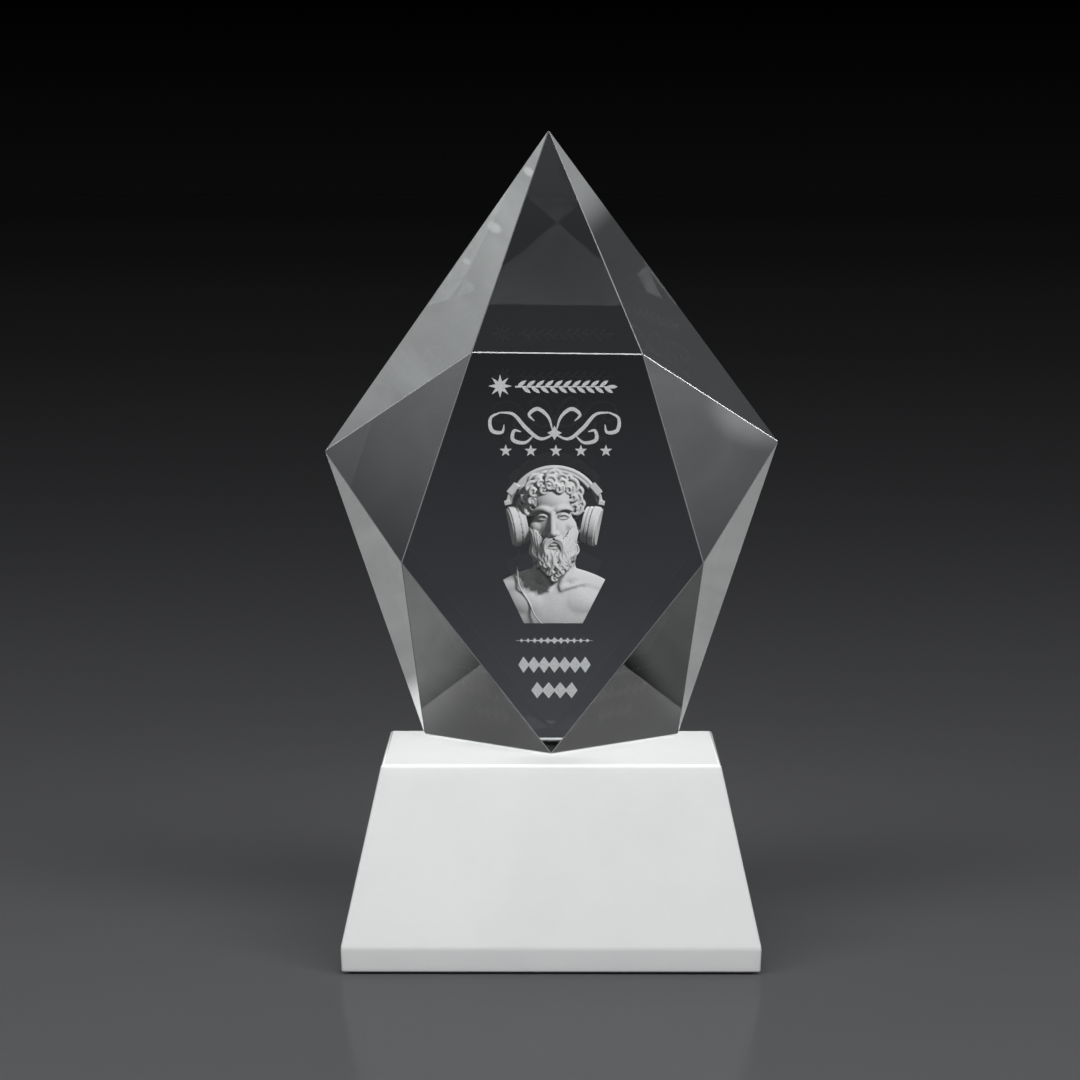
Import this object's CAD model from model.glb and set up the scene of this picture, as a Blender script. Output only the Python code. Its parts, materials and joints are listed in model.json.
import json
import math
import random

import bpy
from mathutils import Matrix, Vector
from mathutils.bvhtree import BVHTree

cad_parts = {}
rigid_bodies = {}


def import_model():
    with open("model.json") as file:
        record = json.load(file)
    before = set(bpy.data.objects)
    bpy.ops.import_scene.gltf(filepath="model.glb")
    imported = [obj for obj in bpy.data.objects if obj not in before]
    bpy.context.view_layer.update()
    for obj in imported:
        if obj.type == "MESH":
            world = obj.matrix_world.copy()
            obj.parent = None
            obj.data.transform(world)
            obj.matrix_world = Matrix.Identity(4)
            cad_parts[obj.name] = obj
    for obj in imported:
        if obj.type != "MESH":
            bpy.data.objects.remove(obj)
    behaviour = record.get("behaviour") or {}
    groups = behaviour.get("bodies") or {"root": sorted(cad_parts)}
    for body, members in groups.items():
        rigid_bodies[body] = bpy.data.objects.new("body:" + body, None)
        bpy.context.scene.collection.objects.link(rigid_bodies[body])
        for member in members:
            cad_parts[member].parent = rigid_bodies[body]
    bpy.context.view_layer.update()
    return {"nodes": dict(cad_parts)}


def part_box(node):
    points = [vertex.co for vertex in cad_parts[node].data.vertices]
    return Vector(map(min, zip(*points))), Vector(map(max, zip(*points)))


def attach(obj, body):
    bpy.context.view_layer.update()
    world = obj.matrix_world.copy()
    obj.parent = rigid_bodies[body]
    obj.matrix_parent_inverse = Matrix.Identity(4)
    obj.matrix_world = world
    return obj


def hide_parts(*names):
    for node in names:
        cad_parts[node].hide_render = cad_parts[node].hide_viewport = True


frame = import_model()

# ---------------------------------------------------------------------------
# Spire: one block of clear optical crystal. Twelve flats are ground on a sawn
# blank and polished, and every edge between them gets a narrow ground
# arris, so that it doesn't chip. It is glued to the plinth by its foot.
# ---------------------------------------------------------------------------

MM = 0.001
SPIRE_ARRIS = 0.36 * MM      # the width of each arris
SPIRE_FLATS = 12             # the two pentagons and the ten flats between them


def pick_only(piece):
    """Deselects everything and makes this the one piece that operators act on."""
    bpy.ops.object.select_all(action="DESELECT")
    piece.select_set(True)
    bpy.context.view_layer.objects.active = piece


def copy_of_node(node, name):
    """A piece of its own with the CAD node's mesh, its loose triangles merged into flats."""
    piece = bpy.data.objects.new(name, frame["nodes"][node].data.copy())
    bpy.context.scene.collection.objects.link(piece)
    piece.data.name = name
    piece.data.materials.clear()
    pick_only(piece)
    bpy.ops.object.mode_set(mode="EDIT")
    bpy.ops.mesh.select_all(action="SELECT")
    bpy.ops.mesh.remove_doubles(threshold=0.001 * MM)
    bpy.ops.mesh.dissolve_limited(angle_limit=math.radians(0.3))
    bpy.ops.object.mode_set(mode="OBJECT")
    return piece


def linear(hex_colour):
    """An sRGB hex colour as the linear RGBA that a socket takes."""
    channels = [int(hex_colour[i:i + 2], 16) / 255 for i in (0, 2, 4)]
    return [c / 12.92 if c <= 0.04045 else ((c + 0.055) / 1.055) ** 2.4 for c in channels] + [1.0]


def add_node(tree, kind, settings=None, links=None):
    """One node: settings are its properties and socket values, links feed its inputs."""
    made = tree.nodes.new(kind)
    for key, value in (settings or {}).items():
        if isinstance(key, str) and hasattr(made, key):
            setattr(made, key, value)
        else:
            made.inputs[key].default_value = value
    for key, source in (links or {}).items():
        tree.links.new(source, made.inputs[key])
    return made


def new_material(name):
    """An empty node material with its output and an Object coordinate."""
    made = bpy.data.materials.new(name)
    made.use_nodes = True
    made.node_tree.nodes.clear()
    output = made.node_tree.nodes.new("ShaderNodeOutputMaterial")
    place = made.node_tree.nodes.new("ShaderNodeTexCoord").outputs["Object"]
    return made, made.node_tree, output, place


def optical_crystal():
    """Polished K9 optical crystal. It shows as clear, bright and almost without colour,
    with a hand-polished face that isn't dead flat, so reflections in it wander a little."""
    made, tree, output, place = new_material("optical_crystal_polished")
    striae = add_node(tree, "ShaderNodeTexNoise", {"Scale": 22.0, "Detail": 2.0}, {"Vector": place})
    tint = add_node(tree, "ShaderNodeValToRGB", None, {"Fac": striae.outputs["Fac"]})
    tint.color_ramp.elements[0].color = linear("F4F8F8")
    tint.color_ramp.elements[1].color = linear("FCFEFE")
    lap = add_node(tree, "ShaderNodeTexNoise", {"Scale": 28.0, "Detail": 1.0}, {"Vector": place})
    wave = add_node(tree, "ShaderNodeBump", {"Strength": 0.012, "Distance": 1.0 * MM},
                    {"Height": lap.outputs["Fac"]})
    shader = add_node(
        tree, "ShaderNodeBsdfPrincipled",
        {"Roughness": 0.0, "IOR": 1.517, "Transmission Weight": 1.0},
        {"Base Color": tint.outputs["Color"], "Normal": wave.outputs["Normal"]})
    tree.links.new(shader.outputs["BSDF"], output.inputs["Surface"])
    return made


def ground_arris():
    """The same crystal where the arrises are ground. It isn't fully polished and scatters part of
    the light, so each edge catches the lamps as a thin pale line."""
    made, tree, output, place = new_material("optical_crystal_ground")
    grit = add_node(tree, "ShaderNodeTexNoise", {"Scale": 700.0, "Detail": 3.0}, {"Vector": place})
    tint = add_node(tree, "ShaderNodeValToRGB", None, {"Fac": grit.outputs["Fac"]})
    tint.color_ramp.elements[0].color = linear("EEF2F2")
    tint.color_ramp.elements[1].color = linear("FCFEFE")
    shader = add_node(
        tree, "ShaderNodeBsdfPrincipled",
        {"Roughness": 0.14, "IOR": 1.517, "Transmission Weight": 0.6},
        {"Base Color": tint.outputs["Color"]})
    tree.links.new(shader.outputs["BSDF"], output.inputs["Surface"])
    return made


spire = copy_of_node("crystal_spire", "spire")
bpy.ops.object.mode_set(mode="EDIT")
bpy.ops.mesh.select_all(action="SELECT")
bpy.ops.mesh.bevel(offset=SPIRE_ARRIS, offset_type="WIDTH", segments=1, clamp_overlap=True)
bpy.ops.object.mode_set(mode="OBJECT")
bpy.ops.object.shade_flat()
spire.data.materials.append(optical_crystal())
spire.data.materials.append(ground_arris())
smallest_flat = sorted((face.area for face in spire.data.polygons), reverse=True)[SPIRE_FLATS - 1]
for face in spire.data.polygons:
    face.material_index = 0 if face.area >= smallest_flat else 1
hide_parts("crystal_spire")
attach(spire, "root")

# ---------------------------------------------------------------------------
# Plinth: one block of opaque opal-white crystal. A sawn block has a low
# upright band at its foot and four sloping sides above, all polished, with a
# wider soft arris round the flat top.
# ---------------------------------------------------------------------------

plinth_low, plinth_high = (Vector(corner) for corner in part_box("opal_plinth"))
PLINTH_BAND = 7.3 * MM
PLINTH_TAPER = 12.0 * MM
PLINTH_DRAFT = 0.3 * MM
TOP_ARRIS = 1.0 * MM
SIDE_ARRIS = 0.7 * MM


def select_faces(piece, wanted):
    """Selects the faces whose centre and normal pass the test, and nothing else."""
    bpy.ops.object.mode_set(mode="EDIT")
    bpy.ops.mesh.select_mode(type="FACE")
    bpy.ops.mesh.select_all(action="DESELECT")
    bpy.ops.object.mode_set(mode="OBJECT")
    for face in piece.data.polygons:
        face.select = wanted(face.center, face.normal)
    bpy.ops.object.mode_set(mode="EDIT")


def select_edges(piece, wanted):
    """Selects the edges whose two ends pass the test, and nothing else."""
    bpy.ops.object.mode_set(mode="EDIT")
    bpy.ops.mesh.select_mode(type="EDGE")
    bpy.ops.mesh.select_all(action="DESELECT")
    bpy.ops.object.mode_set(mode="OBJECT")
    points = piece.data.vertices
    for edge in piece.data.edges:
        a, b = (points[i].co for i in edge.vertices)
        edge.select = wanted(a, b)
    bpy.ops.object.mode_set(mode="EDIT")


def opal_crystal():
    """Opal-white crystal glass, fired opaque and polished. Light sinks a few millimetres into
    it, so its edges look soft, and a glossy skin mirrors what stands on it."""
    made, tree, output, place = new_material("opal_crystal_polished")
    cloud = add_node(tree, "ShaderNodeTexNoise", {"Scale": 38.0, "Detail": 4.0}, {"Vector": place})
    body = add_node(tree, "ShaderNodeValToRGB", None, {"Fac": cloud.outputs["Fac"]})
    body.color_ramp.elements[0].position = 0.3
    body.color_ramp.elements[0].color = linear("F3F5F5")
    body.color_ramp.elements[1].position = 0.7
    body.color_ramp.elements[1].color = linear("F8F9F9")
    haze = add_node(tree, "ShaderNodeTexNoise", {"Scale": 120.0, "Detail": 3.0}, {"Vector": place})
    gloss = add_node(tree, "ShaderNodeMapRange", {"To Min": 0.04, "To Max": 0.08},
                     {"Value": haze.outputs["Fac"]})
    shader = add_node(
        tree, "ShaderNodeBsdfPrincipled",
        {"IOR": 1.52, "Specular IOR Level": 0.1, "Subsurface Weight": 0.35, "Subsurface Scale": 3.0 * MM,
         "Subsurface Radius": (1.0, 0.97, 0.94)},
        {"Base Color": body.outputs["Color"], "Roughness": gloss.outputs["Result"]})
    tree.links.new(shader.outputs["BSDF"], output.inputs["Surface"])
    return made


band_top = plinth_low.z + PLINTH_BAND
centre = (plinth_low + plinth_high) / 2
span = plinth_high - plinth_low
bpy.ops.object.select_all(action="DESELECT")
bpy.ops.mesh.primitive_cube_add(
    size=1.0, location=(centre.x, centre.y, (plinth_low.z + band_top) / 2),
    scale=(span.x, span.y, PLINTH_BAND))
plinth = bpy.context.active_object
plinth.name = plinth.data.name = "plinth"
bpy.ops.object.transform_apply(location=True, rotation=True, scale=True)
select_faces(plinth, lambda middle, normal: normal.z > 0.9)
bpy.ops.mesh.extrude_region_move(TRANSFORM_OT_translate={"value": (0, 0, plinth_high.z - band_top)})
bpy.ops.transform.resize(value=(1 - 2 * PLINTH_TAPER / span.x, 1 - 2 * PLINTH_TAPER / span.y, 1),
                         center_override=(centre.x, centre.y, plinth_high.z))
select_faces(plinth, lambda middle, normal: normal.z < -0.9)
bpy.ops.transform.resize(value=(1 - 2 * PLINTH_DRAFT / span.x, 1 - 2 * PLINTH_DRAFT / span.y, 1),
                         center_override=(centre.x, centre.y, plinth_low.z))
select_edges(plinth, lambda a, b: min(a.z, b.z) > plinth_high.z - MM)
bpy.ops.mesh.bevel(offset=TOP_ARRIS, offset_type="OFFSET", segments=4, profile=0.5)
select_edges(plinth, lambda a, b: max(a.z, b.z) < band_top + MM or abs(a.z - b.z) > 2 * MM)
bpy.ops.mesh.bevel(offset=SIDE_ARRIS, offset_type="OFFSET", segments=3, profile=0.5)
bpy.ops.object.mode_set(mode="OBJECT")
bpy.ops.object.shade_smooth_by_angle(angle=math.radians(25))
even = plinth.modifiers.new("even", "WEIGHTED_NORMAL")
even.keep_sharp = True
bpy.ops.object.modifier_apply(modifier=even.name)
plinth.data.materials.append(opal_crystal())
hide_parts("opal_plinth")
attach(plinth, "root")

# ---------------------------------------------------------------------------
# Adhesive film and felt pad. The film is clear adhesive, cured under
# ultraviolet light, and is pulled a hair off the crystal and the plinth, as
# glass faces can't coincide. The pad is dark pressed felt, glued under the
# plinth, and its CAD node stays.
# ---------------------------------------------------------------------------

FILM_GAP = 0.02 * MM


def cured_adhesive():
    """Clear acrylic adhesive, squeezed to a thin film. It hardly bends light, so what shows is the
    polished face of the crystal above it."""
    made, tree, output, place = new_material("acrylic_adhesive_cured")
    flow = add_node(tree, "ShaderNodeTexNoise", {"Scale": 60.0, "Detail": 2.0}, {"Vector": place})
    tint = add_node(tree, "ShaderNodeValToRGB", None, {"Fac": flow.outputs["Fac"]})
    tint.color_ramp.elements[0].color = linear("F2F4F2")
    tint.color_ramp.elements[1].color = linear("FBFCFB")
    shader = add_node(
        tree, "ShaderNodeBsdfPrincipled",
        {"Roughness": 0.0, "IOR": 1.01, "Transmission Weight": 1.0},
        {"Base Color": tint.outputs["Color"]})
    tree.links.new(shader.outputs["BSDF"], output.inputs["Surface"])
    return made


def pressed_felt():
    """Dark wool felt, pressed and cut. It shows as a soft, matt, slightly fibrous dark edge."""
    made, tree, output, place = new_material("wool_felt_pressed")
    fibre = add_node(tree, "ShaderNodeTexNoise", {"Scale": 900.0, "Detail": 6.0, "Roughness": 0.7},
                     {"Vector": place})
    body = add_node(tree, "ShaderNodeValToRGB", None, {"Fac": fibre.outputs["Fac"]})
    body.color_ramp.elements[0].color = linear("161617")
    body.color_ramp.elements[1].color = linear("38383A")
    nap = add_node(tree, "ShaderNodeBump", {"Strength": 0.5, "Distance": 0.2 * MM},
                   {"Height": fibre.outputs["Fac"]})
    shader = add_node(
        tree, "ShaderNodeBsdfPrincipled", {"Roughness": 0.95, "Sheen Weight": 0.3},
        {"Base Color": body.outputs["Color"], "Normal": nap.outputs["Normal"]})
    tree.links.new(shader.outputs["BSDF"], output.inputs["Surface"])
    return made


def refinish(node, material):
    """Gives a CAD node that stays a better material."""
    for each in frame["nodes"][node].material_slots:
        each.material = material


film = copy_of_node("adhesive_film", "film")
film_low, film_high = (Vector(corner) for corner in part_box("adhesive_film"))
film_thick = film_high.z - film_low.z
bpy.ops.object.mode_set(mode="EDIT")
bpy.ops.mesh.select_all(action="SELECT")
bpy.ops.transform.resize(value=(1, 1, 1 - 2 * FILM_GAP / film_thick),
                         center_override=(0, 0, (film_low.z + film_high.z) / 2))
bpy.ops.object.mode_set(mode="OBJECT")
film.data.materials.append(cured_adhesive())
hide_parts("adhesive_film")
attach(film, "root")
refinish("felt_pad", pressed_felt())

# ---------------------------------------------------------------------------
# Etched marks: emblem, leaf spray, scrollwork, stars, beaded rule and name
# bars, all frosted into the front of the spire. Their CAD nodes have the right
# shape and stay, and only get the frosted finish.
# ---------------------------------------------------------------------------


def frosted_etch():
    """Crystal frosted by etching. Its fine pits scatter light, so it shows as a matt pale grey."""
    made, tree, output, place = new_material("crystal_etched_frosted")
    grain = add_node(tree, "ShaderNodeTexNoise", {"Scale": 1600.0, "Detail": 4.0}, {"Vector": place})
    body = add_node(tree, "ShaderNodeValToRGB", None, {"Fac": grain.outputs["Fac"]})
    body.color_ramp.elements[0].position = 0.3
    body.color_ramp.elements[0].color = linear("BEC0C2")
    body.color_ramp.elements[1].position = 0.7
    body.color_ramp.elements[1].color = linear("DEE0E2")
    pits = add_node(tree, "ShaderNodeBump", {"Strength": 0.3, "Distance": 0.05 * MM},
                    {"Height": grain.outputs["Fac"]})
    shader = add_node(
        tree, "ShaderNodeBsdfPrincipled", {"Roughness": 0.75, "IOR": 1.5},
        {"Base Color": body.outputs["Color"], "Normal": pits.outputs["Normal"]})
    tree.links.new(shader.outputs["BSDF"], output.inputs["Surface"])
    return made


etch = frosted_etch()
for node in frame["nodes"]:
    if node.startswith("mark_"):
        refinish(node, etch)

# ---------------------------------------------------------------------------
# Portrait: a bearded herm bust in headphones, etched as a shallow relief. It is
# modelled at full depth in millimetres, lit once to find how densely each spot
# is pitted, and then pressed flat against the front of the spire.
# ---------------------------------------------------------------------------

EYE_LINE = (1.0, 136.0)      # where the middle of the eye line comes, in x and z
RELIEF = 0.78                # how far the nose stands off the glass
FULL_DEPTH = 13.0            # the same before it is pressed flat
FRONT = -14.11               # just off the front of the spire
HEAD_TILT = math.radians(2.3)
CUP_LEAN = math.radians(11)
CUP_YAW = math.radians(9)
LAMP = Vector((0.58, -0.58, 0.57)).normalized()
chance = random.Random(11)


def lump(x, y, z, rx, ry, rz, turn=0.0, pair=False):
    """An egg of clay, turned in the picture plane. A pair has its mirror image too."""
    for side in ((1, -1) if pair else (1,)):
        bpy.ops.mesh.primitive_uv_sphere_add(
            segments=28, ring_count=18, radius=1.0, location=(side * x, y, z),
            rotation=(0, math.radians(side * turn), 0), scale=(rx, ry, rz))
        clay.append(bpy.context.active_object)


def strand(points, thick, thin=None, pair=False):
    """A round roll of clay through the points, tapering from thick to thin."""
    thin = thick if thin is None else thin
    for side in ((1, -1) if pair else (1,)):
        line = rolls.splines.new("NURBS")
        line.points.add(len(points) - 1)
        for i, (x, y, z) in enumerate(points):
            line.points[i].co = (side * x, y, z, 1.0)
            line.points[i].radius = thick + (thin - thick) * i / (len(points) - 1)
        line.use_endpoint_u = True
        line.order_u = 4 if len(points) > 3 else 3


def curl(x, y, z, size, hand, start):
    """One snail-shell curl of hair with a domed heart, facing out from the head."""
    lump(x, y + 0.5 * size, z, 0.95 * size, 0.9 * size, 0.95 * size)
    points = []
    for step in range(15):
        along = step / 14
        angle = start + hand * along * math.radians(450)
        reach = size * (1.0 - 0.82 * along)
        points.append((x + reach * math.cos(angle), y - size * (0.1 + 0.55 * along),
                       z + reach * math.sin(angle)))
    strand(points, 0.30 * size, 0.16 * size)


def block(x, y, z, wide, deep, high, turn):
    """A rounded block, turned in the picture plane."""
    bpy.ops.mesh.primitive_cube_add(size=1.0, location=(x, y, z), rotation=(0, math.radians(turn), 0),
                                    scale=(wide, deep, high))
    clay.append(bpy.context.active_object)


def disc(x, y, z, out, radius, thick, side):
    """One layer of an ear cup. The cup leans in at its foot, and is turned a little to the front."""
    axis = Vector((side * math.cos(CUP_LEAN) * math.cos(CUP_YAW), -math.sin(CUP_YAW),
                   -math.sin(CUP_LEAN) * math.cos(CUP_YAW)))
    bpy.ops.mesh.primitive_cylinder_add(
        vertices=56, radius=radius, depth=thick, location=Vector((x, y, z)) + axis * out,
        rotation=axis.to_track_quat("Z", "Y").to_euler())
    clay.append(bpy.context.active_object)


def mould(name, voxel, smoothing):
    """Turns the clay and the rolls so far into one skin."""
    bpy.ops.object.select_all(action="DESELECT")
    if rolls.splines:
        carrier = bpy.data.objects.new(name, rolls)
        bpy.context.scene.collection.objects.link(carrier)
        pick_only(carrier)
        bpy.ops.object.convert(target="MESH")
        clay.append(bpy.context.active_object)
    for each in clay:
        each.select_set(True)
    bpy.context.view_layer.objects.active = clay[0]
    bpy.ops.object.join()
    piece = bpy.context.active_object
    piece.name = piece.data.name = name
    bpy.ops.object.transform_apply(location=True, rotation=True, scale=True)
    piece.data.remesh_voxel_size = voxel
    bpy.ops.object.voxel_remesh()
    if smoothing:
        soften = piece.modifiers.new("soften", "SMOOTH")
        soften.factor = 0.5
        soften.iterations = smoothing
        bpy.ops.object.modifier_apply(modifier=soften.name)
    return piece


def new_rolls():
    """An empty set of rolls of clay, for strand to fill."""
    made = bpy.data.curves.new("rolls", "CURVE")
    made.dimensions = "3D"
    made.bevel_depth = 1.0
    made.bevel_resolution = 2
    made.resolution_u = 4
    made.use_fill_caps = True
    return made


def lock(x, z, tip_x, tip_z, bow, wide=0.4, front=-9.8):
    """Three fine rolls side by side, from root to tip, that bow and gather as beard hair does."""
    run_x, run_z = tip_x - x, tip_z - z
    length = math.hypot(run_x, run_z)
    side_x, side_z = -run_z / length, run_x / length
    for k in (-1, 0, 1):
        points = []
        for step in range(7):
            t = step / 6
            off = k * wide * 2.1 * (1 - 0.7 * t) + bow * math.sin(math.pi * 1.5 * t)
            px, pz = x + run_x * t + side_x * off, z + run_z * t + side_z * off
            depth = front + 0.088 * px * px + 0.35 * abs(k) - 0.7 * math.sin(math.pi * t)
            points.append((px, depth, pz))
        strand(points, wide * (1.15 if k == 0 else 0.95), 0.5 * wide)


# Head and face. Heights are from the eye line, and the nose points to -Y. The two strands are
# the brows and the bridge of the nose.
clay, rolls = [], new_rolls()
lump(0, 1.0, 3.4, 8.0, 9.4, 8.9)                    # skull
lump(0, -1.2, -3.0, 6.9, 7.4, 9.4)                  # face
lump(0, -3.4, 5.0, 6.8, 5.6, 5.4)                   # forehead
strand([(1.0, -8.4, 1.7), (2.8, -8.9, 2.8), (4.6, -7.9, 2.8), (6.2, -6.0, 1.4)], 1.0, 0.6, pair=True)
lump(4.5, -4.9, -2.9, 2.8, 2.5, 2.2, pair=True)     # cheekbone
lump(3.5, -4.5, -6.8, 3.3, 2.9, 4.0, pair=True)     # cheek
lump(0, -6.8, -8.4, 3.7, 3.0, 3.2)                  # muzzle
lump(0, -6.8, -12.0, 2.4, 2.3, 1.8)                 # chin
strand([(0, -7.0, 4.6), (0, -8.4, 1.6), (0, -9.7, -2.0), (0, -11.0, -4.8)], 0.78, 1.12)
lump(0, -10.9, -5.3, 1.3, 1.4, 1.1)                 # tip of the nose
lump(1.2, -9.3, -5.5, 0.8, 1.4, 0.8, pair=True)     # wing of the nose
head = mould("head", 0.3, 16)

# Eyes with their lids, and the closed lips.
clay, rolls = [head], new_rolls()
lump(3.2, -6.3, -0.1, 1.65, 1.7, 1.3, pair=True)    # eyeball
strand([(1.6, -7.8, -0.4), (2.2, -8.4, 0.45), (3.3, -8.5, 0.7), (4.4, -7.9, 0.35), (5.0, -6.9, -0.4)],
       0.46, 0.38, pair=True)
strand([(1.6, -7.8, -0.4), (2.5, -8.0, -0.95), (3.5, -8.0, -1.05), (4.9, -6.9, -0.4)],
       0.3, 0.28, pair=True)
strand([(-2.6, -8.9, -9.1), (-0.9, -10.1, -8.6), (0, -10.0, -8.8), (0.9, -10.1, -8.6), (2.6, -8.9, -9.1)],
       0.44)
strand([(-2.2, -8.9, -9.4), (-0.8, -9.9, -9.9), (0.8, -9.9, -9.9), (2.2, -8.9, -9.4)], 0.55)

# Hair, in four rows of curls from the crown down to the forehead. Each row is an arch.
for count, reach, rise, middle, depth, size, widest in (
        (10, 8.6, 8.2, 4.3, -0.6, 2.35, 122),
        (9, 7.4, 7.3, 4.6, -4.0, 2.2, 110),
        (7, 6.3, 5.4, 5.4, -6.4, 2.0, 92),
        (4, 3.2, 3.4, 6.2, -8.0, 1.7, 52)):
    for i in range(count):
        angle = math.radians(widest * (2 * i / (count - 1) - 1) + chance.uniform(-5, 5))
        curl(reach * math.sin(angle), depth + chance.uniform(-0.6, 0.3), middle + rise * math.cos(angle),
             size * chance.uniform(0.8, 1.2), chance.choice((-1, 1)), chance.uniform(0, 6.28))

# Beard and moustache: soft masses with locks laid over them, and curls at the edge.
for side in (-1, 1):
    lump(side * 1.9, -6.6, -13.6, 2.6, 2.4, 4.2, side * -6)
    lump(side * 5.3, -3.4, -9.4, 1.6, 3.0, 5.0, side * -6)
    for i in range(6):
        part = i / 5
        lock(side * (7.0 - 2.6 * part), -3.4 - 3.2 * part, side * (6.0 - 2.6 * part), -10.6 - 2.2 * part,
             side * chance.uniform(-0.7, 0.7), 0.42)
    for i in range(6):
        part = i / 5
        lock(side * (6.0 - 5.2 * part), -8.6 - 2.6 * part, side * (4.4 - 3.4 * part), -14.6 - 3.6 * part,
             side * (-1) ** i * chance.uniform(0.9, 1.5), 0.45, -10.2)
    for i in range(3):
        lock(side * (0.4 + 0.6 * i), -6.9 - 0.35 * i, side * (4.7 - 0.7 * i), -10.4 - 1.1 * i,
             side * 0.7, 0.4, -10.7)
    curl(side * 3.5, -8.9, -14.2, 1.25, -side, 1.0)
    curl(side * 1.9, -9.2, -17.2, 1.25, side, 2.2)
    for x, y, z, size in ((6.3, -3.4, -6.2, 1.0), (6.4, -3.0, -8.6, 1.15), (5.9, -3.9, -11.0, 1.2),
                          (4.9, -6.6, -13.2, 1.15), (3.4, -8.3, -15.6, 1.1), (2.6, -9.6, -12.6, 1.0)):
        curl(side * x, y, z, size, side, chance.uniform(0, 6.28))
lump(0.1, -6.0, -17.6, 2.0, 1.8, 2.4)
curl(-0.2, -8.6, -19.2, 1.3, 1, 0.4)
lock(-1.1, -10.4, -1.4, -15.4, 1.1)
lock(1.0, -10.4, 0.8, -15.0, 1.1)
for x, y, z, size, hand in ((-2.6, -9.8, -15.0, 1.15, 1), (2.4, -9.7, -15.6, 1.2, 1),
                            (-1.0, -9.5, -16.8, 1.1, -1), (1.0, -9.2, -18.0, 1.1, 1),
                            (-4.2, -8.2, -12.4, 1.1, -1), (4.4, -8.1, -12.0, 1.1, 1)):
    curl(x, y, z, size, hand, chance.uniform(0, 6.28))
head = mould("head", 0.2, 1)

# The head leans a little to one side.
bpy.ops.object.mode_set(mode="EDIT")
bpy.ops.mesh.select_all(action="SELECT")
bpy.ops.transform.rotate(value=HEAD_TILT, orient_axis="Y", center_override=(0, 0, -14))
bpy.ops.object.mode_set(mode="OBJECT")

# Neck muscles, collarbones, neck, shoulders and chest.
clay, rolls = [], new_rolls()
strand([(5.4, 0.5, -11.5), (4.8, -3.0, -15.5), (1.7, -4.3, -22.0)], 1.7, 1.0, pair=True)
strand([(1.5, -4.6, -22.6), (6.0, -4.6, -21.0), (13.0, -1.6, -19.6)], 0.85, 0.7, pair=True)
lump(0, 1.2, -15.0, 6.6, 5.6, 10.0)
lump(7.5, 1.0, -20.2, 13.0, 4.6, 4.0, 17, pair=True)
lump(0, 0.5, -28.0, 19.0, 5.6, 11.0)
lump(6.9, -1.4, -26.6, 8.4, 3.9, 5.6, -6, pair=True)
chest = mould("chest", 0.35, 22)

# The headphone cable, from the left cup over the chest.
clay, rolls = [chest], new_rolls()
strand([(-11.4, 0.6, -15.8), (-11.3, -2.7, -16.4), (-11.2, -3.6, -18.6), (-11.0, -4.3, -21.0),
        (-9.7, -4.9, -23.6), (-7.8, -5.5, -26.2), (-6.7, -5.7, -28.8), (-6.2, -5.7, -30.6),
        (-4.8, -5.8, -32.0), (-3.6, -5.8, -33.4)], 0.26)
clay.append(head)

# Headphones: a hoop with a padded lining, a slider and a hinge on each side, and two cups.
for reach, rise, depth, thick, widest in ((13.8, 13.0, -0.4, 0.8, 82), (12.75, 11.9, -0.6, 0.62, 58)):
    hoop = [math.radians(widest * (i / 8 - 1)) for i in range(17)]
    strand([(reach * math.sin(a), depth, 2.0 + rise * math.cos(a)) for a in hoop], thick)
for side in (-1, 1):
    block(side * 12.7, -1.0, 8.4, 2.1, 2.6, 3.8, side * -40)
    block(side * 14.1, -0.9, 5.6, 0.9, 2.2, 2.6, side * -14)
    block(side * 14.4, -1.0, 4.2, 1.9, 2.4, 1.5, side * 11)
    for out, radius, thick in ((-1.9, 5.6, 1.3), (-0.95, 5.9, 0.9), (-0.35, 5.5, 0.7), (0.8, 6.2, 1.9),
                               (1.95, 5.7, 0.7)):
        disc(side * 11.5, -0.9, -2.9, out, radius, thick, side)
bust = mould("portrait_bust", 0.21, 1)

# The back, the foot and the two slanting sides of the herm are cut off flat.
bpy.ops.object.mode_set(mode="EDIT")
for place, facing in (((0, 0, 0), (0, 1, 0)), ((0, 0, -33), (0, 0, -1)),
                      ((-15.9, 0, -19.3), (-0.9, 0, -0.43)), ((15.9, 0, -18.8), (0.9, 0, -0.46))):
    bpy.ops.mesh.select_all(action="SELECT")
    bpy.ops.mesh.bisect(plane_co=place, plane_no=facing, use_fill=True, clear_outer=True)
bpy.ops.object.mode_set(mode="OBJECT")


def pit_density(piece):
    """Lights the full-depth figure once, from the upper right, and keeps the tone of each point."""
    mesh = piece.data
    spots = [v.co.copy() for v in mesh.vertices]
    skin = BVHTree.FromPolygons(spots, [tuple(p.vertices) for p in mesh.polygons])
    golden = math.pi * (3 - math.sqrt(5))
    sky = []
    for i in range(20):
        up = 1 - (2 * i + 1) / 20
        ring = math.sqrt(1 - up * up)
        sky.append(Vector((ring * math.cos(golden * i), ring * math.sin(golden * i), up)))
    wobble = [(LAMP + 0.09 * sky[i]).normalized() for i in (2, 8, 13, 17)]
    tone = mesh.attributes.new("pits", "FLOAT", "POINT")
    for i, spot in enumerate(spots):
        normal = mesh.vertex_normals[i].vector
        start = spot + 0.12 * normal
        lit = 0.0
        if normal.dot(LAMP) > 0:
            lit = sum(skin.ray_cast(start, way)[0] is None for way in wobble) / 4 * normal.dot(LAMP)
        open_sky = [way for way in sky if way.dot(normal) > 0.1]
        seen = sum(skin.ray_cast(start, way, 9.0)[0] is None for way in open_sky) / max(1, len(open_sky))
        tone.data[i].value = min(1.0, 0.13 * seen + 1.1 * lit)


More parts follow.
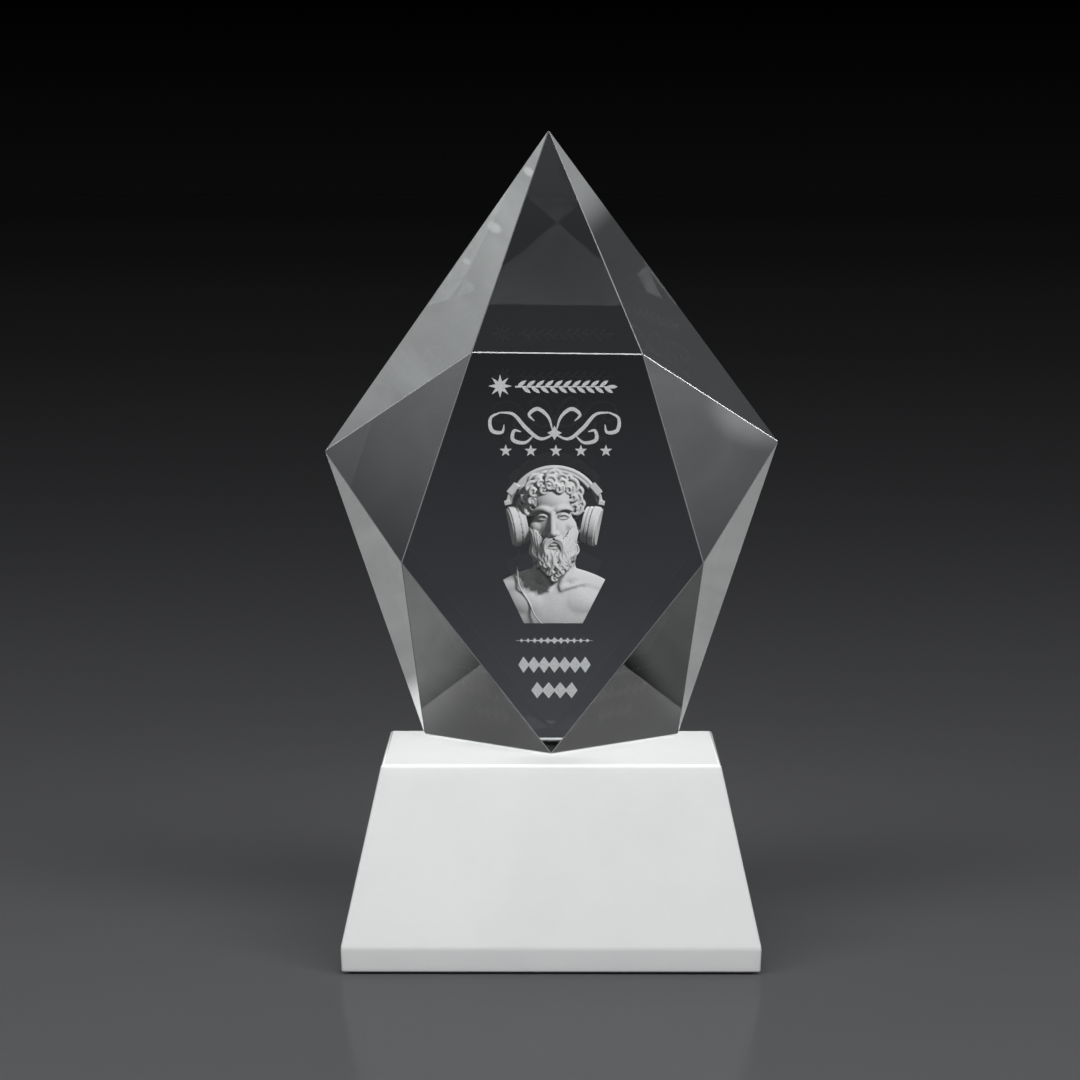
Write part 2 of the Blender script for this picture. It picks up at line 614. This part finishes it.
def etched_portrait():
    """Crystal frosted dot by dot. The denser its pits, the whiter it shows, and bare spots stay clear."""
    made, tree, output, place = new_material("crystal_etched_portrait")
    pits = add_node(tree, "ShaderNodeAttribute", {"attribute_name": "pits"})
    grain = add_node(tree, "ShaderNodeTexNoise", {"Scale": 2400.0, "Detail": 3.0}, {"Vector": place})
    spread = add_node(tree, "ShaderNodeMapRange", {"To Min": 0.88, "To Max": 1.12},
                      {"Value": grain.outputs["Fac"]})
    dots = add_node(tree, "ShaderNodeMath", {"operation": "MULTIPLY"},
                    {0: pits.outputs["Fac"], 1: spread.outputs["Result"]})
    body = add_node(tree, "ShaderNodeValToRGB", None, {"Fac": dots.outputs["Value"]})
    body.color_ramp.elements[0].color = linear("2A2B2C")
    body.color_ramp.elements[1].color = linear("ECEDEE")
    shader = add_node(
        tree, "ShaderNodeBsdfPrincipled", {"Roughness": 0.8, "IOR": 1.5, "Specular IOR Level": 0.2},
        {"Base Color": body.outputs["Color"]})
    tree.links.new(shader.outputs["BSDF"], output.inputs["Surface"])
    return made


pit_density(bust)
bpy.ops.object.mode_set(mode="EDIT")
bpy.ops.mesh.select_all(action="SELECT")
bpy.ops.transform.resize(value=(MM, RELIEF / FULL_DEPTH * MM, MM), center_override=(0, 0, 0))
bpy.ops.transform.translate(value=(EYE_LINE[0] * MM, FRONT * MM, EYE_LINE[1] * MM))
bpy.ops.object.mode_set(mode="OBJECT")
bpy.ops.object.shade_smooth()
bust.data.materials.clear()
bust.data.materials.append(etched_portrait())
bust.data.materials.append(etch)
for face in bust.data.polygons:
    if face.normal.y > 0.9:
        face.material_index = 1
        face.use_smooth = False
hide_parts("mark_portrait_bust", "mark_headphones")
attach(bust, "root")

# ---------------------------------------------------------------------------
# Stage: a plain floor of painted board, soft studio lights, a dark room with
# soft lamps behind the crystal, and the camera. The floor, the crystal and the
# opaque pieces each have lamps of their own.
# ---------------------------------------------------------------------------


def floor_finish():
    """Board under satin grey paint. It shows even and almost matt, with a faint cloud in the grey."""
    made, tree, output, place = new_material("painted_board_satin")
    grain = add_node(tree, "ShaderNodeTexNoise", {"Scale": 4.0, "Detail": 3.0}, {"Vector": place})
    body = add_node(tree, "ShaderNodeValToRGB", None, {"Fac": grain.outputs["Fac"]})
    body.color_ramp.elements[0].color = linear("B4B5BA")
    body.color_ramp.elements[1].color = linear("B9BABF")
    shader = add_node(
        tree, "ShaderNodeBsdfPrincipled", {"Roughness": 0.15, "Specular IOR Level": 0.003},
        {"Base Color": body.outputs["Color"]})
    tree.links.new(shader.outputs["BSDF"], output.inputs["Surface"])
    return made


bpy.ops.object.select_all(action="DESELECT")
bpy.ops.mesh.primitive_plane_add(size=60.0, location=(0, 0, 0))
floor = bpy.context.active_object
floor.name = "floor"
floor.data.materials.append(floor_finish())

spire_group = bpy.data.collections.new("lit_spire")
body_group = bpy.data.collections.new("lit_body")
floor_group = bpy.data.collections.new("lit_floor")
spire_group.objects.link(spire)
for each in (plinth, film, bust):
    body_group.objects.link(each)
for node in frame["nodes"]:
    if node not in ("crystal_spire", "opal_plinth"):
        body_group.objects.link(frame["nodes"][node])
floor_group.objects.link(floor)
shadowing_group = bpy.data.collections.new("casts_shadow")
for each in body_group.objects:
    if each not in (film, frame["nodes"]["adhesive_film"]):
        shadowing_group.objects.link(each)


def soft_light(name, place, target, size, power, receivers, blockers):
    """A softbox: a rectangular area light that faces its target and lights only its receivers."""
    data = bpy.data.lights.new(name, "AREA")
    data.shape = "RECTANGLE"
    data.size, data.size_y = size
    data.energy = power
    lamp = bpy.data.objects.new(name, data)
    bpy.context.scene.collection.objects.link(lamp)
    lamp.location = place
    lamp.rotation_euler = (Vector(target) - Vector(place)).to_track_quat("-Z", "Y").to_euler()
    lamp.visible_camera = False
    lamp.light_linking.receiver_collection = receivers
    if blockers:
        lamp.light_linking.blocker_collection = blockers


# Each light: name, place, target, size in metres, and power in watts.
BODY_LIGHTS = [
    ("key_overhead", (0.1, -0.55, 1.25), (0, 0, 0.03), (0.9, 0.7), 18.0),
    ("fill_front", (-0.5, -1.6, 0.5), (0, 0, 0.1), (1.0, 0.8), 5.8),
    ("top_wash", (0, 0.3, 1.2), (0, 0, 0.06), (0.5, 0.4), 5.0),
]
FLOOR_LIGHTS = [
    ("floor_near", (0, -0.9, 1.3), (0, -0.6, 0), (3.0, 0.6), 8.35),
    ("floor_second", (0, 2.0, 2.0), (0, 2.0, 0), (5.0, 1.0), 0.95),
    ("floor_third", (0, 5.0, 3.0), (0, 5.0, 0), (8.0, 2.0), 1.6),
    ("floor_far", (0, 11.0, 5.0), (0, 11.0, 0), (14.0, 6.0), 2.6),
    ("floor_horizon", (0, 24.0, 8.0), (0, 24.0, 0), (30.0, 10.0), 8.0),
]
SPIRE_LIGHTS = [
    ("rim_front", (0, -1.53, 0.94), (0, 0, 0.19), (0.9, 0.35), 13.0),
    ("rim_right", (1.35, 0.63, 0.76), (0, 0, 0.19), (0.35, 0.4), 5.0),
    ("rim_left", (-1.38, 0.56, 0.76), (0, 0, 0.19), (0.3, 0.3), 0.7),
    ("rim_above", (0.97, -0.05, 1.5), (0, 0, 0.22), (0.35, 0.35), 1.2),
]
for lights, receivers, blockers in ((BODY_LIGHTS, body_group, shadowing_group),
                                    (FLOOR_LIGHTS, floor_group, None),
                                    (SPIRE_LIGHTS, spire_group, None)):
    for name, place, target, size, power in lights:
        soft_light(name, place, target, size, power, receivers, blockers)

# What the crystal looks out on: a dark room, and round soft lamps behind it, out of the picture.
# Each lamp: azimuth from +Y towards +X, elevation, angle of its full middle and of its soft edge,
# and its radiance. The ones under a tenth of a degree are glints. The tones of the room go by
# elevation, from below upwards.
SOFT_LAMPS = [
    (52, 8, 8, 15, 0.35),
    (50.7, 6.9, 0.2, 0.9, 0.8),
    (-54, 8, 9, 16, 0.37),
    (42, -23, 0, 15, 0.315),
    (37.2, -23.4, 0.3, 2.0, 0.06),
    (36.66, -24.26, 0.01, 0.1, 0.18),
    (37.13, -23.29, 0.01, 0.08, 0.22),
    (36.29, -24.88, 0, 0.06, 0.1),
    (-40.2, -25.6, 0.3, 1.3, 0.3),
    (-39, -27, 5, 11, 0.028),
    (30, -8, 0, 9.5, 0.12),
    (-30, -8, 0, 9.5, 0.09),
    (-25.6, -12.0, 0.2, 0.9, 0.16),
    (19, 15, 5.8, 7.2, 0.17),
    (-19, 15, 6.1, 6.7, 0.072),
    (-53.7, 7.0, 0.2, 0.9, 0.1),
]
ROOM_TONES = [(-30, "38393B"), (-17, "2C2D2F"), (-13, "3E3F42"), (-10, "48494D"), (-7, "323336"),
              (-3, "242426"), (-0.5, "0B0B0B"), (2.7, "010101")]

world = bpy.data.worlds.new("studio")
bpy.context.scene.world = world
world.use_nodes = True
room = world.node_tree
room.nodes.clear()
outwards = room.nodes.new("ShaderNodeTexCoord").outputs["Generated"]
height = add_node(room, "ShaderNodeSeparateXYZ", None, {"Vector": outwards}).outputs["Z"]
lowest, highest = (math.sin(math.radians(t[0])) for t in (ROOM_TONES[0], ROOM_TONES[-1]))
along = add_node(room, "ShaderNodeMapRange", {"From Min": lowest, "From Max": highest}, {"Value": height})
tones = add_node(room, "ShaderNodeValToRGB", None, {"Fac": along.outputs["Result"]})
for i, (elevation, tone) in enumerate(ROOM_TONES):
    place = (math.sin(math.radians(elevation)) - lowest) / (highest - lowest)
    if i in (0, len(ROOM_TONES) - 1):
        stop = tones.color_ramp.elements[0 if i == 0 else -1]
    else:
        stop = tones.color_ramp.elements.new(place)
    stop.color = linear(tone)
radiance = tones.outputs["Color"]
cloth = add_node(
    room, "ShaderNodeTexNoise", {"Scale": 38.0, "Detail": 5.0, "Roughness": 0.6, "Distortion": 1.2},
    {"Vector": outwards})
folds = add_node(
    room, "ShaderNodeMapRange", {"From Min": 0.3, "From Max": 0.7, "To Min": 0.84, "To Max": 1.16},
    {"Value": cloth.outputs["Fac"]})
for azimuth, elevation, middle, edge, strength in SOFT_LAMPS:
    a, e = math.radians(azimuth), math.radians(elevation)
    towards = (math.sin(a) * math.cos(e), math.cos(a) * math.cos(e), math.sin(e))
    facing = add_node(room, "ShaderNodeVectorMath", {"operation": "DOT_PRODUCT", 1: towards},
                      {0: outwards})
    glow = add_node(
        room, "ShaderNodeMapRange",
        {"interpolation_type": "SMOOTHSTEP", "From Min": math.cos(math.radians(edge)),
         "From Max": math.cos(math.radians(middle)), "To Max": strength},
        {"Value": facing.outputs["Value"]})
    lit = add_node(room, "ShaderNodeMath", {"operation": "MULTIPLY"},
                   {0: glow.outputs["Result"], 1: folds.outputs["Result"]})
    radiance = add_node(room, "ShaderNodeVectorMath", {"operation": "ADD"},
                        {0: radiance, 1: lit.outputs["Value"]}).outputs["Vector"]
backdrop = add_node(room, "ShaderNodeBackground", None, {"Color": radiance})
room.links.new(backdrop.outputs["Background"], add_node(room, "ShaderNodeOutputWorld").inputs["Surface"])

# The crystal looks out on the room, not on the floor, and the plinth throws no light on the floor.
floor.visible_transmission = False
plinth.visible_diffuse = False
bpy.context.scene.view_settings.view_transform = "Standard"

lens = bpy.data.cameras.new("camera")
lens.lens = 117.0
lens.sensor_width = 36.0
camera = bpy.data.objects.new("camera", lens)
bpy.context.scene.collection.objects.link(camera)
camera.location = (0.8 * MM, -1082.5 * MM, 242.7 * MM)
camera.rotation_euler = (math.radians(90 - 6.089), 0, math.radians(0.227))
bpy.context.scene.camera = camera
